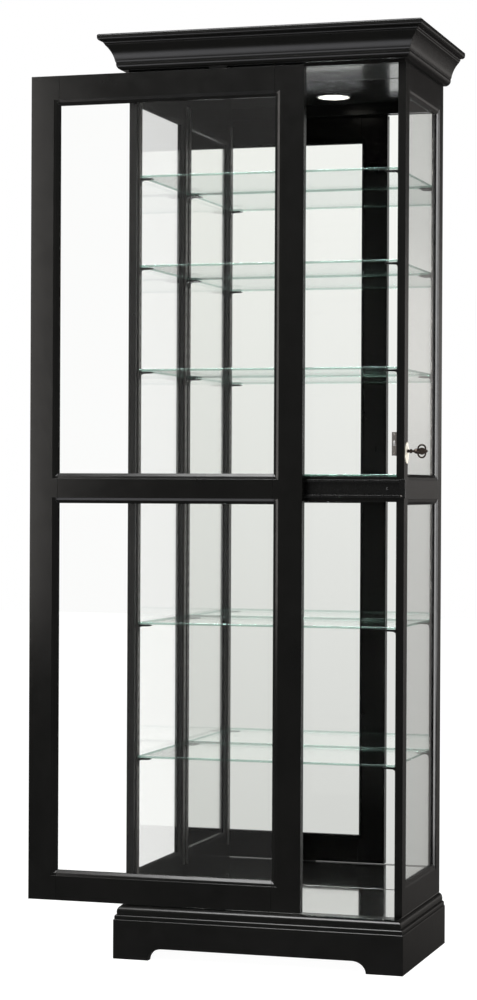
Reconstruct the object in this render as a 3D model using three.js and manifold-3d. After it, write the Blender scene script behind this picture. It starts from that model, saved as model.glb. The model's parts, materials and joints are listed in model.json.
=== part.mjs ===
// Tall glass display showcase: a mirrored case on a plinth, under a crown moulding, with a framed
// glass door that slides sideways on a track across the middle of the front.
// Millimetres, +X right, +Y back, +Z up. The origin is on the floor, under the middle of the base's
// back rail.

import * as THREE from 'three';
import { mergeVertices } from 'three/addons/utils/BufferGeometryUtils.js';
import Module from 'manifold-3d';

const wasm = await Module();
wasm.setup();

// ---------------------------------------------------------------- driving dimensions

const GAP = 0.3; // clearance left between pieces that touch
const TOP_Z = 2000;
const BACK_Y = 9; // rear face of the whole cabinet

const CASE = { halfWidth: 309, frontY: -357, side: 17, topZ: 1966 };
const CROWN = { halfWidth: 358.5, frontY: -431, bottomZ: 1926 };
const CROWN_LIP = { depth: 8, bottomZ: 1920.3 }; // closes the gap above the door, against the case
const BASE = { halfWidth: 322, frontY: -404, board: 18, boardTopZ: 86, topRound: 3 };
const FLOOR_Z = 115;
const CEILING_Z = 1948;
const FRONT_RAIL = { depth: 18, headerBottomZ: 1921, midBottomZ: 993 };

const ARCH = { halfWidth: 242, height: 26, shoulder: 31 }; // cut-out between the plinth's bracket feet
const MITRE_GAP = GAP * Math.SQRT2;

// Rounds and hollows of the crown from the bottom up. `outset` is measured from the case, angles are
// in degrees, and a curve that ends at a smaller angle than it starts from is hollow.
const CROWN_CURVES = {
  bead: { outset: 5, z: 1938.2, radius: 12, from: -75, to: 8 },
  cove: { outset: 81.2, z: 1932.9, radius: 63.7, from: 170, to: 135 },
  quarterRound: { outset: 34, z: 1984, radius: 5, from: -60, to: 0 },
  bandUnderside: { outset: 42.5, z: 1992.5, radius: 7, from: -90, to: 0 },
  bandTop: { outset: 46.5, z: TOP_Z - 3, radius: 3, from: 0, to: 90 },
};
const CROWN_STEPS = { underside: 8, coveFoot: 17, coveFootZ: 1941.5, bandFootZ: 1985.5 };

// Rounds of the base moulding. Here `outset` is measured from the outer face of the boards.
const BASE_CURVES = {
  lower: { outset: -7, z: 91, radius: 5, from: 0, to: 90 },
  upper: { outset: -19, z: FLOOR_Z - 13, radius: 13, from: 0, to: 90 },
};

// Heights of the glass seen through the frames: lower pane, middle rail, upper pane.
const SIGHT = { lowerBottom: 182.7, lowerTop: 986.6, upperBottom: 1052, upperTop: 1856.4 };

const PANE = 4;
const GLAZING = { lip: 7, rabbet: 8, paneMargin: 7.5 };

// Moulded edge round each sight, as [outset from the sight, depth below the outer face]: a wide
// sloping bead, a quirk, a flatter bead and a last quirk up to the face.
const STICKING = [[0, 5.6], [6, 2.3], [6.4, 1.7], [11.8, 0.6], [12.2, 0]];

const DOOR = { halfWidth: 310, frontY: -388, thickness: 20, bottomZ: 117, topZ: 1921, stile: 64.8 };
const DOOR_OPEN = -216; // where the door stands, slid to the left of closed
const SIDE_FRAME = { frontStile: 45, backStile: 45 };

const MIRROR = { frontY: 0, thickness: 4 };
const BACK_PANEL = 4.4;

const SHELF = { halfWidth: 288, frontY: -347, backY: -3, thickness: 5 };
const SHELF_TOPS = { bottom: 435.5, lower: 727.5, middle: 1051.7, upper: 1280, high: 1507, top: 1702.5 };

const STANDARD = { width: 14, thickness: 2.5, frontY: -336, backY: -12, bottomZ: 150, topZ: 1900 };
const CLIP = { width: 10, reach: 27, thickness: 2.2, hook: 0.7, hookHeight: 20, embed: 1 };

const TRACK = { bottomZ: 1002, topZ: 1040, depth: 9.2, sheet: 1.5, lip: 5.5 };
const SLIDE_CLEARANCE = 0.5;
const RUNNER = { halfLength: 280, bottomZ: 1013, topZ: 1029, depth: 7.4 };
const CARRIAGE = { halfLength: 140, bottomZ: 1004, topZ: 1038, web: 0.8, frontY: -364.5, backY: -359.2 };
const END_STOP = { thickness: 4, margin: 1 };
const KERF = { y: -376, width: 5, depth: 9 };
const GUIDE = { x: -100, length: 40, width: 16, plate: 1.4, fin: 4, lowerRise: 6, upperRise: 10 };

const LOCK = { y: -336, z: 1101, bottomZ: 1091, topZ: 1141, depth: 34.4, thickness: 10, wall: 1.5 };
const BOLT = { bottomZ: 1112, topZ: 1122, length: 26, thickness: 5.4, clearance: 0.3 };
const MORTISE = { halfWidth: 4, depth: 10, margin: 1.5 }; // pocket for the bolt in the door's stile
const KEYHOLE = { radius: 3.3, slot: 2.8, drop: 10.5 };
const PLATE = { width: 30, height: 46, thickness: 1.5, z: 1097.5 };

// Turned stem of the key outside the case, as [distance from the case, radius].
const KEY_STEM = [
  [2.5, 2.4], [2.5, 3.4], [4.5, 3.4], [5.6, 2], [7.2, 4], [9.5, 4.9], [11.8, 4], [13.2, 2],
  [15, 2.6], [19.5, 5.6], [23, 5.6], [28, 3.4], [28, 0],
];
const KEY = { shaft: 2.4, bow: 33, ring: 8, wire: 1.9, ringRise: 5.4, disc: 7.6, discDepth: 4.4 };
const FINIAL = { radius: 3.2, reach: 10 };
const KEY_BIT = { start: 0.5, length: 4, halfThickness: 1.1, drop: 8 };

const LAMP = {
  y: -215, flangeRadius: 42, canRadius: 33, holeRadius: 34, mouthRadius: 38, drop: 3.5, rise: 26,
};
const LENS = { thickness: 1.5, recess: 2, wall: 2 };

// ---------------------------------------------------------------- materials

function paint(color, roughness, metalness = 0) {
  return new THREE.MeshStandardMaterial({ color, roughness, metalness });
}

function clear(color, opacity) {
  return new THREE.MeshStandardMaterial({ color, roughness: 0.05, metalness: 0, opacity, transparent: true });
}

const satinBlack = paint(0x3a3a37, 0.42);
const glossBlack = paint(0x1d1d1b, 0.12);
const hardboard = paint(0x6d5a45, 0.85);
const silver = paint(0xdfe2e0, 0.03, 1);
const clearGlass = clear(0xe9f1ee, 0.25);
const shelfGlass = clear(0xcfe5df, 0.4);
const blackSteel = paint(0x333333, 0.45, 0.8);
const darkSteel = paint(0x5b544d, 0.4, 0.9);
const zincSteel = paint(0x8d8f8e, 0.4, 0.9);
const brass = paint(0xc9a55c, 0.25, 1);
const bronze = paint(0x40342c, 0.4, 0.9);
const nylon = paint(0x2b2b2b, 0.6);
const frosted = clear(0xfff6e6, 0.9);

// ---------------------------------------------------------------- solids

function toSolid(geometry) {
  const bare = geometry.index ? geometry.toNonIndexed() : geometry.clone();
  bare.deleteAttribute('normal');
  bare.deleteAttribute('uv');
  const merged = mergeVertices(bare, 1e-4);
  return new wasm.Manifold(new wasm.Mesh({
    numProp: 3,
    vertProperties: new Float32Array(merged.attributes.position.array),
    triVerts: new Uint32Array(merged.index.array),
  }));
}

function toGeometry(solid) {
  const mesh = solid.getMesh();
  const geometry = new THREE.BufferGeometry();
  geometry.setAttribute('position', new THREE.BufferAttribute(mesh.vertProperties, 3));
  geometry.setIndex(new THREE.BufferAttribute(mesh.triVerts, 1));
  return geometry;
}

function cut(geometry, ...tools) {
  return toGeometry(tools.reduce((solid, tool) => solid.subtract(toSolid(tool)), toSolid(geometry)));
}

function join(geometry, ...others) {
  return toGeometry(others.reduce((solid, other) => solid.add(toSolid(other)), toSolid(geometry)));
}

function overlapOf(geometry, other) {
  return toGeometry(toSolid(geometry).intersect(toSolid(other)));
}

// Box between two limits on each axis.
function box([x0, x1], [y0, y1], [z0, z1]) {
  const geometry = new THREE.BoxGeometry(x1 - x0, y1 - y0, z1 - z0);
  return geometry.translate((x0 + x1) / 2, (y0 + y1) / 2, (z0 + z1) / 2);
}

// Cylinder from `start` to `end` along X, or along Z when `upright`.
function rod(radius, [start, end], [across, z], segments = 20) {
  const geometry = new THREE.CylinderGeometry(radius, radius, end - start, segments);
  geometry.rotateZ(-Math.PI / 2);
  return geometry.translate((start + end) / 2, across, z);
}

// Prism standing on a plan outline.
function planPrism(points, [z0, z1]) {
  const shape = new THREE.Shape(points.map(([x, y]) => new THREE.Vector2(x, y)));
  const geometry = new THREE.ExtrudeGeometry(shape, { depth: z1 - z0, bevelEnabled: false });
  return geometry.translate(0, 0, z0);
}

// Sweeps a section, drawn as outset and height, along a level line. `out` is the outset's direction.
function sweepSection(section, out, start, length) {
  const options = { depth: length, bevelEnabled: false, curveSegments: 8 };
  const geometry = new THREE.ExtrudeGeometry(section, options);
  const up = new THREE.Vector3(0, 0, 1);
  const along = new THREE.Vector3().crossVectors(out, up);
  geometry.applyMatrix4(new THREE.Matrix4().makeBasis(out, up, along));
  return geometry.translate(start.x, start.y, 0);
}

// Adds a mesh whose own origin is the middle of its shape.
function addPart(group, name, geometry, material) {
  const placed = geometry.clone();
  placed.computeBoundingBox();
  const middle = placed.boundingBox.getCenter(new THREE.Vector3());
  placed.translate(-middle.x, -middle.y, -middle.z);
  placed.computeVertexNormals();
  const mesh = new THREE.Mesh(placed, material);
  mesh.name = name;
  mesh.position.copy(middle);
  group.add(mesh);
  return mesh;
}

// ---------------------------------------------------------------- mitred surrounds

// Front, left and right runs of a moulding or board that meet in mitres at the front corners.
// The section's outset is 0 on the outer faces, so the material lies at negative outsets.
function mitredSurround({ halfWidth, frontY }, section, sideDepth, frontDepth, heights) {
  const innerX = halfWidth - sideDepth;
  const innerY = frontY + sideDepth;
  const cornerX = halfWidth + 1;
  const cornerY = frontY - 1;

  const frontPlan = planPrism([
    [-cornerX + MITRE_GAP, cornerY],
    [cornerX - MITRE_GAP, cornerY],
    [innerX - MITRE_GAP, innerY],
    [innerX - MITRE_GAP, frontY + frontDepth],
    [-innerX + MITRE_GAP, frontY + frontDepth],
    [-innerX + MITRE_GAP, innerY],
  ], heights);
  const frontRun = sweepSection(
    section,
    new THREE.Vector3(0, -1, 0),
    new THREE.Vector2(cornerX, frontY),
    2 * cornerX,
  );

  const sideRun = (sign) => {
    const plan = planPrism([
      [sign * cornerX, cornerY],
      [sign * cornerX, BACK_Y],
      [sign * innerX, BACK_Y],
      [sign * innerX, innerY],
    ], heights);
    const startY = sign > 0 ? BACK_Y : cornerY;
    const run = sweepSection(
      section,
      new THREE.Vector3(sign, 0, 0),
      new THREE.Vector2(sign * halfWidth, startY),
      BACK_Y - cornerY,
    );
    return overlapOf(run, plan);
  };

  return { front: overlapOf(frontRun, frontPlan), left: sideRun(-1), right: sideRun(1) };
}

// Adds a round or a hollow to a section whose outsets are shifted by `shift`.
function curve(shape, { outset, z, radius, from, to }, shift = 0) {
  const radians = (degrees) => degrees * Math.PI / 180;
  shape.absarc(outset + shift, z, radius, radians(from), radians(to), to < from);
}

// Crown section: lower bead, large cove, small quarter-round, then a rounded top band.
function crownSection(depth) {
  const width = CROWN.halfWidth - CASE.halfWidth;
  const { bead, cove, quarterRound, bandUnderside, bandTop } = CROWN_CURVES;
  const shape = new THREE.Shape();
  shape.moveTo(-depth, CROWN.bottomZ);
  shape.lineTo(CROWN_STEPS.underside - width, CROWN.bottomZ);
  curve(shape, bead, -width);
  shape.lineTo(CROWN_STEPS.coveFoot - width, CROWN_STEPS.coveFootZ);
  curve(shape, cove, -width);
  curve(shape, quarterRound, -width);
  shape.lineTo(quarterRound.outset + quarterRound.radius - width, CROWN_STEPS.bandFootZ);
  curve(shape, bandUnderside, -width);
  curve(shape, bandTop, -width);
  shape.lineTo(-depth, TOP_Z);
  return shape;
}

// Base moulding section: a small round above the boards, then a wider one up to the ledge.
function baseMouldingSection(depth) {
  const bottom = BASE.boardTopZ + GAP;
  const { lower, upper } = BASE_CURVES;
  const shape = new THREE.Shape();
  shape.moveTo(-depth, bottom);
  shape.lineTo(lower.outset + lower.radius, bottom);
  curve(shape, lower);
  shape.lineTo(upper.outset + upper.radius, lower.z + lower.radius + 1);
  curve(shape, upper);
  shape.lineTo(-depth, FLOOR_Z);
  return shape;
}

// Board section with its top outer edge rounded.
function boardSection(depth, [z0, z1], round) {
  const shape = new THREE.Shape();
  shape.moveTo(-depth, z0);
  shape.lineTo(0, z0);
  curve(shape, { outset: -round, z: z1 - round, radius: round, from: 0, to: 90 });
  shape.lineTo(-depth, z1);
  return shape;
}

// ---------------------------------------------------------------- glazed frames

// Slice of an opening that widens towards the outer face, between two [outset, depth] levels.
function flare([x0, x1], [z0, z1], [innerOutset, innerDepth], [outerOutset, outerDepth]) {
  const depth = innerDepth - outerDepth;
  const slice = new THREE.BoxGeometry(x1 - x0, depth, z1 - z0);
  const points = slice.attributes.position;
  for (let i = 0; i < points.count; i += 1) {
    const outset = points.getY(i) < 0 ? outerOutset : innerOutset;
    points.setX(i, points.getX(i) + Math.sign(points.getX(i)) * outset);
    points.setZ(i, points.getZ(i) + Math.sign(points.getZ(i)) * outset);
  }
  return slice.translate((x0 + x1) / 2, (innerDepth + outerDepth) / 2, (z0 + z1) / 2);
}

// Opening cut through a frame whose outer face is y = 0: a moulded edge, a lip, and behind it the
// rabbet that the pane sits in.
function openingTools([x0, x1], [z0, z1], thickness) {
  const flares = STICKING.slice(1).map((level, i) => flare([x0, x1], [z0, z1], STICKING[i], level));
  const through = box([x0, x1], [STICKING[0][1] - 1, thickness + 1], [z0, z1]);
  const rabbet = box(
    [x0 - GLAZING.rabbet, x1 + GLAZING.rabbet],
    [GLAZING.lip, thickness + 1],
    [z0 - GLAZING.rabbet, z1 + GLAZING.rabbet],
  );
  return [...flares, through, rabbet];
}

// Two stiles, three rails and two panes, with the outer face at y = 0 and the inner face at y = thickness.
function glazedFrame({ left, right, leftStile, rightStile, bottom, top, thickness }) {
  const sightX = [left + leftStile, right - rightStile];
  const railX = [sightX[0] + GAP, sightX[1] - GAP];
  const depth = [0, thickness];
  const openings = [
    [SIGHT.lowerBottom, SIGHT.lowerTop],
    [SIGHT.upperBottom, SIGHT.upperTop],
  ];
  const tools = openings.flatMap((heights) => openingTools(sightX, heights, thickness));
  const pane = ([z0, z1]) => box(
    [sightX[0] - GLAZING.paneMargin, sightX[1] + GLAZING.paneMargin],
    [GLAZING.lip + GAP, GLAZING.lip + GAP + PANE],
    [z0 - GLAZING.paneMargin, z1 + GLAZING.paneMargin],
  );
  return {
    left_stile: cut(box([left, sightX[0]], depth, [bottom, top]), ...tools),
    right_stile: cut(box([sightX[1], right], depth, [bottom, top]), ...tools),
    bottom_rail: cut(box(railX, depth, [bottom, SIGHT.lowerBottom]), ...tools),
    mid_rail: cut(box(railX, depth, [SIGHT.lowerTop, SIGHT.upperBottom]), ...tools),
    top_rail: cut(box(railX, depth, [SIGHT.upperTop, top]), ...tools),
    pane_lower: pane(openings[0]),
    pane_upper: pane(openings[1]),
  };
}

// ---------------------------------------------------------------- base

function addBase(group) {
  const boards = mitredSurround(
    BASE,
    boardSection(BASE.board, [0, BASE.boardTopZ], BASE.topRound),
    BASE.board,
    BASE.board,
    [0, BASE.boardTopZ],
  );
  addPart(group, 'base_front_board', cut(boards.front, archTool()), satinBlack);
  addPart(group, 'base_left_board', boards.left, satinBlack);
  addPart(group, 'base_right_board', boards.right, satinBlack);

  const railX = BASE.halfWidth - BASE.board - GAP;
  const backRail = box([-railX, railX], [BACK_Y - BASE.board, BACK_Y], [0, BASE.boardTopZ]);
  addPart(group, 'base_back_rail', backRail, satinBlack);

  const sideDepth = BASE.halfWidth - CASE.halfWidth - GAP;
  const frontDepth = CASE.frontY - BASE.frontY - GAP;
  const heights = [BASE.boardTopZ + GAP, FLOOR_Z];
  const moulding = mitredSurround(BASE, baseMouldingSection(frontDepth), sideDepth, frontDepth, heights);
  addPart(group, 'base_moulding_front', moulding.front, satinBlack);
  addPart(group, 'base_moulding_left', moulding.left, satinBlack);
  addPart(group, 'base_moulding_right', moulding.right, satinBlack);

  const floorX = CASE.halfWidth - GAP;
  const floor = box([-floorX, floorX], [CASE.frontY, BACK_Y], [BASE.boardTopZ + GAP, FLOOR_Z]);
  addPart(group, 'floor_panel', floor, glossBlack);
}

// Flat arch with elliptical shoulders, through the front board.
function archTool() {
  const shape = new THREE.Shape();
  const shoulderX = ARCH.halfWidth - ARCH.shoulder;
  shape.moveTo(-ARCH.halfWidth, -1);
  shape.lineTo(ARCH.halfWidth, -1);
  shape.absellipse(shoulderX, 0, ARCH.shoulder, ARCH.height, 0, Math.PI / 2, false);
  shape.absellipse(-shoulderX, 0, ARCH.shoulder, ARCH.height, Math.PI / 2, Math.PI, false);
  const length = BASE.board + 2;
  const options = { depth: length, bevelEnabled: false, curveSegments: 10 };
  const geometry = new THREE.ExtrudeGeometry(shape, options);
  geometry.rotateX(Math.PI / 2);
  return geometry.translate(0, BASE.frontY + length - 1, 0);
}

// ---------------------------------------------------------------- case

function sideFrame(sign) {
  const frontX = sign * CASE.frontY;
  const backX = sign * BACK_Y;
  const frontIsLeft = frontX < backX;
  return glazedFrame({
    left: Math.min(frontX, backX),
    right: Math.max(frontX, backX),
    leftStile: frontIsLeft ? SIDE_FRAME.frontStile : SIDE_FRAME.backStile,
    rightStile: frontIsLeft ? SIDE_FRAME.backStile : SIDE_FRAME.frontStile,
    bottom: FLOOR_Z + GAP,
    top: CASE.topZ,
    thickness: CASE.side,
  });
}

// The side frame is drawn facing front, then turned so that its outer face looks sideways.
function addSideFrame(parent, side, sign) {
  const group = new THREE.Group();
  group.rotation.z = sign * Math.PI / 2;
  group.position.x = sign * CASE.halfWidth;
  parent.add(group);

  const frame = sideFrame(sign);
  const frontStile = sign > 0 ? frame.left_stile : frame.right_stile;
  const backStile = sign > 0 ? frame.right_stile : frame.left_stile;
  const keyed = sign > 0 ? cut(frontStile, ...stileKeyhole()) : frontStile;
  addPart(group, `side_${side}_front_stile`, keyed, satinBlack);
  addPart(group, `side_${side}_back_stile`, backStile, satinBlack);
  for (const rail of ['bottom_rail', 'mid_rail', 'top_rail']) {
    addPart(group, `side_${side}_${rail}`, frame[rail], satinBlack);
  }
  for (const pane of ['pane_lower', 'pane_upper']) {
    addPart(group, `side_${side}_${pane}`, frame[pane], clearGlass);
  }
}

// Keyhole through the right front stile, in the turned frame's own coordinates.
function stileKeyhole() {
  const reach = [-1, CASE.side + 1];
  const barrel = new THREE.CylinderGeometry(KEYHOLE.radius, KEYHOLE.radius, CASE.side + 2, 20);
  barrel.translate(LOCK.y, CASE.side / 2, LOCK.z);
  const slot = box(
    [LOCK.y - KEYHOLE.slot / 2, LOCK.y + KEYHOLE.slot / 2],
    reach,
    [LOCK.z - KEYHOLE.drop, LOCK.z],
  );
  return [barrel, slot];
}

function addCase(group) {
  const innerX = CASE.halfWidth - CASE.side - GAP;
  const across = [-innerX, innerX];
  const railY = [CASE.frontY, CASE.frontY + FRONT_RAIL.depth];

  const header = box(across, railY, [FRONT_RAIL.headerBottomZ, CEILING_Z - GAP]);
  addPart(group, 'front_header', header, satinBlack);

  // The middle rail carries the middle shelf and is notched at its ends around the front standards.
  const restZ = SHELF_TOPS.middle - SHELF.thickness - GAP;
  const notchY = [STANDARD.frontY - STANDARD.width / 2 - 1, railY[1] + 1];
  const notchStart = innerX - STANDARD.thickness - 1;
  const notches = [-1, 1].map((sign) => {
    const ends = [sign * notchStart, sign * (innerX + 1)].sort((a, b) => a - b);
    return box(ends, notchY, [0, TOP_Z]);
  });
  const midRail = box(across, railY, [FRONT_RAIL.midBottomZ, restZ]);
  addPart(group, 'front_mid_rail', cut(midRail, ...notches), satinBlack);

  const top = box(across, [CASE.frontY, BACK_Y], [CEILING_Z, CASE.topZ]);
  const lampHole = new THREE.CylinderGeometry(LAMP.holeRadius, LAMP.holeRadius, 60, 40);
  lampHole.rotateX(Math.PI / 2);
  lampHole.translate(0, LAMP.y, CEILING_Z);
  addPart(group, 'top_panel', cut(top, lampHole), glossBlack);

  const backHeights = [FLOOR_Z + GAP, CEILING_Z - GAP];
  const mirrorY = [MIRROR.frontY, MIRROR.frontY + MIRROR.thickness];
  addPart(group, 'mirror', box(across, mirrorY, backHeights), silver);
  addPart(group, 'back_panel', box(across, [BACK_Y - BACK_PANEL, BACK_Y], backHeights), hardboard);
}

function addCrown(group) {
  const sideDepth = CROWN.halfWidth - CASE.halfWidth - GAP;
  const frontDepth = CASE.frontY - CROWN.frontY - GAP;
  const heights = [CROWN.bottomZ, TOP_Z];
  const crown = mitredSurround(CROWN, crownSection(frontDepth), sideDepth, frontDepth, heights);
  const lipX = CASE.halfWidth - GAP;
  const lip = box(
    [-lipX, lipX],
    [CASE.frontY - GAP - CROWN_LIP.depth, CASE.frontY - GAP],
    [CROWN_LIP.bottomZ, CROWN.bottomZ + 1],
  );
  addPart(group, 'crown_front', join(crown.front, lip), satinBlack);
  addPart(group, 'crown_left', crown.left, satinBlack);
  addPart(group, 'crown_right', crown.right, satinBlack);
}

// ---------------------------------------------------------------- shelves and their supports

function addShelves(group) {
  for (const [level, topZ] of Object.entries(SHELF_TOPS)) {
    const shelf = box(
      [-SHELF.halfWidth, SHELF.halfWidth],
      [SHELF.frontY, SHELF.backY],
      [topZ - SHELF.thickness, topZ],
    );
    addPart(group, `shelf_${level}`, shelf, shelfGlass);
  }
}

// Slotted steel strip with the shelf clips that hook into it, for the left (-1) or right (+1) side.
function standardWithClips(sign, y, [bottomZ, topZ], shelfTops) {
  const wallX = CASE.halfWidth - CASE.side - GAP;
  const faceX = wallX - STANDARD.thickness;
  const spanX = (x0, x1) => (sign > 0 ? [x0, x1] : [-x1, -x0]);
  const halfWidth = STANDARD.width / 2;
  const strip = box(spanX(faceX, wallX), [y - halfWidth, y + halfWidth], [bottomZ, topZ]);
  const clipY = [y - CLIP.width / 2, y + CLIP.width / 2];
  const clips = shelfTops.flatMap((shelfTop) => {
    const seatZ = shelfTop - SHELF.thickness - GAP;
    const rootX = wallX - CLIP.embed;
    const hook = box(spanX(faceX - CLIP.hook, rootX), clipY, [seatZ - CLIP.hookHeight, seatZ]);
    const tongue = box(spanX(wallX - CLIP.reach, rootX), clipY, [seatZ - CLIP.thickness, seatZ]);
    return [hook, tongue];
  });
  return join(strip, ...clips);
}

function addStandards(group) {
  const { bottom, lower, middle, upper, high, top } = SHELF_TOPS;
  const adjustable = [bottom, lower, upper, high, top];
  const full = [STANDARD.bottomZ, STANDARD.topZ];
  const belowLock = [STANDARD.bottomZ, LOCK.bottomZ - 6];
  const aboveLock = [LOCK.topZ + 6, STANDARD.topZ];
  const strips = [
    ['shelf_standard_left_front', -1, STANDARD.frontY, full, adjustable],
    ['shelf_standard_left_back', -1, STANDARD.backY, full, [...adjustable, middle]],
    ['shelf_standard_right_back', 1, STANDARD.backY, full, [...adjustable, middle]],
    ['shelf_standard_right_front_lower', 1, STANDARD.frontY, belowLock, [bottom, lower]],
    ['shelf_standard_right_front_upper', 1, STANDARD.frontY, aboveLock, [upper, high, top]],
  ];
  for (const [name, sign, y, heights, tops] of strips) {
    addPart(group, name, standardWithClips(sign, y, heights, tops), darkSteel);
  }
}

// ---------------------------------------------------------------- sliding door

function addDoor(group) {
  const frame = glazedFrame({
    left: -DOOR.halfWidth,
    right: DOOR.halfWidth,
    leftStile: DOOR.stile,
    rightStile: DOOR.stile,
    bottom: DOOR.bottomZ,
    top: DOOR.topZ,
    thickness: DOOR.thickness,
  });
  const kerfY = [KERF.y - DOOR.frontY - KERF.width / 2, KERF.y - DOOR.frontY + KERF.width / 2];
  const kerfX = [-DOOR.halfWidth - 1, DOOR.halfWidth + 1];
  const kerfs = [
    box(kerfX, kerfY, [DOOR.bottomZ - 1, DOOR.bottomZ + KERF.depth]),
    box(kerfX, kerfY, [DOOR.topZ - KERF.depth, DOOR.topZ + 1]),
  ];
  const back = DOOR.thickness;
  const boltX = CASE.halfWidth - CASE.side - GAP - LOCK.thickness / 2;
  const mortise = box(
    [boltX - MORTISE.halfWidth, boltX + MORTISE.halfWidth],
    [back - MORTISE.depth, back + 1],
    [BOLT.bottomZ - MORTISE.margin, BOLT.topZ + MORTISE.margin],
  );

  addPart(group, 'door_left_stile', cut(frame.left_stile, ...kerfs), satinBlack);
  addPart(group, 'door_right_stile', cut(frame.right_stile, ...kerfs, mortise), satinBlack);
  addPart(group, 'door_bottom_rail', cut(frame.bottom_rail, kerfs[0]), satinBlack);
  addPart(group, 'door_mid_rail', frame.mid_rail, satinBlack);
  addPart(group, 'door_top_rail', cut(frame.top_rail, kerfs[1]), satinBlack);
  addPart(group, 'door_pane_lower', frame.pane_lower, clearGlass);
  addPart(group, 'door_pane_upper', frame.pane_upper, clearGlass);

  const runner = box(
    [-RUNNER.halfLength, RUNNER.halfLength],
    [back + GAP, back + GAP + RUNNER.depth],
    [RUNNER.bottomZ, RUNNER.topZ],
  );
  addPart(group, 'slide_door_runner', runner, zincSteel);
}

// Channel fixed across the middle rail, open towards the door between two lips.
function addTrack(group) {
  const backY = CASE.frontY - GAP;
  const frontY = backY - TRACK.depth;
  const heights = [TRACK.bottomZ, TRACK.topZ];
  const across = [-CASE.halfWidth, CASE.halfWidth];
  const through = [across[0] - 1, across[1] + 1];
  const hollow = box(
    through,
    [frontY + TRACK.sheet, backY - TRACK.sheet],
    [TRACK.bottomZ + TRACK.sheet, TRACK.topZ - TRACK.sheet],
  );
  const mouth = box(
    through,
    [frontY - 1, backY - TRACK.sheet],
    [TRACK.bottomZ + TRACK.lip, TRACK.topZ - TRACK.lip],
  );
  addPart(group, 'slide_track', cut(box(across, [frontY, backY], heights), hollow, mouth), blackSteel);

  const stopX = [CASE.halfWidth + GAP, CASE.halfWidth + GAP + END_STOP.thickness];
  const stopZ = [TRACK.bottomZ - END_STOP.margin, TRACK.topZ + END_STOP.margin];
  addPart(group, 'slide_end_stop', box(stopX, [frontY, backY], stopZ), blackSteel);
}

// Ball carriage between the fixed track and the door's runner.
function addCarriage(group) {
  const across = [-CARRIAGE.halfLength, CARRIAGE.halfLength];
  const body = box(across, [CARRIAGE.frontY, CARRIAGE.backY], [CARRIAGE.bottomZ, CARRIAGE.topZ]);
  const slot = box(
    [across[0] - 1, across[1] + 1],
    [CARRIAGE.frontY - 1, CARRIAGE.backY - CARRIAGE.web],
    [RUNNER.bottomZ - SLIDE_CLEARANCE, RUNNER.topZ + SLIDE_CLEARANCE],
  );
  addPart(group, 'slide_ball_carriage', cut(body, slot), zincSteel);
}

// Nylon plate with a fin that runs in the kerf along the door's edge. `rise` points at the door.
function addGuide(group, name, plateZ, rise, finRise) {
  const x = [GUIDE.x - GUIDE.length / 2, GUIDE.x + GUIDE.length / 2];
  const spanZ = (z0, z1) => [Math.min(z0, z1), Math.max(z0, z1)];
  const plateTop = plateZ + rise * GUIDE.plate;
  const plate = box(x, [KERF.y - GUIDE.width / 2, KERF.y + GUIDE.width / 2], spanZ(plateZ, plateTop));
  const fin = box(
    x,
    [KERF.y - GUIDE.fin / 2, KERF.y + GUIDE.fin / 2],
    spanZ(plateZ + rise, plateTop + rise * finRise),
  );
  addPart(group, name, join(plate, fin), nylon);
}

// ---------------------------------------------------------------- lock

function addLock(group) {
  const outerX = CASE.halfWidth - CASE.side - GAP;
  const innerX = outerX - LOCK.thickness;
  const frontY = CASE.frontY + GAP;
  const backY = frontY + LOCK.depth;
  const boltX = (outerX + innerX) / 2;

  const cavity = box(
    [innerX + LOCK.wall, outerX - LOCK.wall],
    [frontY + LOCK.wall, backY - LOCK.wall],
    [LOCK.bottomZ + LOCK.wall, LOCK.topZ - LOCK.wall],
  );
  const boltSlot = box(
    [boltX - BOLT.thickness / 2 - BOLT.clearance, boltX + BOLT.thickness / 2 + BOLT.clearance],
    [frontY - 1, frontY + LOCK.wall + 1],
    [BOLT.bottomZ - BOLT.clearance, BOLT.topZ + BOLT.clearance],
  );
  const shell = box([innerX, outerX], [frontY, backY], [LOCK.bottomZ, LOCK.topZ]);
  const keyway = keyholeTools([outerX - LOCK.wall - 1, outerX + 1]);
  addPart(group, 'lock_case', cut(shell, cavity, boltSlot, ...keyway), darkSteel);

  const bolt = box(
    [boltX - BOLT.thickness / 2, boltX + BOLT.thickness / 2],
    [frontY, frontY + BOLT.length],
    [BOLT.bottomZ, BOLT.topZ],
  );
  addPart(group, 'lock_bolt', bolt, zincSteel);

  const plateX = CASE.halfWidth + GAP;
  const plate = new THREE.CylinderGeometry(1, 1, PLATE.thickness, 36);
  plate.rotateZ(-Math.PI / 2);
  plate.scale(1, PLATE.width / 2, PLATE.height / 2);
  plate.translate(plateX + PLATE.thickness / 2, LOCK.y, PLATE.z);
  const plateKeyhole = keyholeTools([plateX - 1, plateX + PLATE.thickness + 1]);
  addPart(group, 'lock_escutcheon', cut(plate, ...plateKeyhole), brass);

  addPart(group, 'lock_key', keyGeometry(innerX + LOCK.wall + 1), bronze);
}

function keyholeTools([x0, x1]) {
  return [
    rod(KEYHOLE.radius, [x0, x1], [LOCK.y, LOCK.z]),
    box([x0, x1], [LOCK.y - KEYHOLE.slot / 2, LOCK.y + KEYHOLE.slot / 2], [LOCK.z - KEYHOLE.drop, LOCK.z]),
  ];
}

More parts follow.
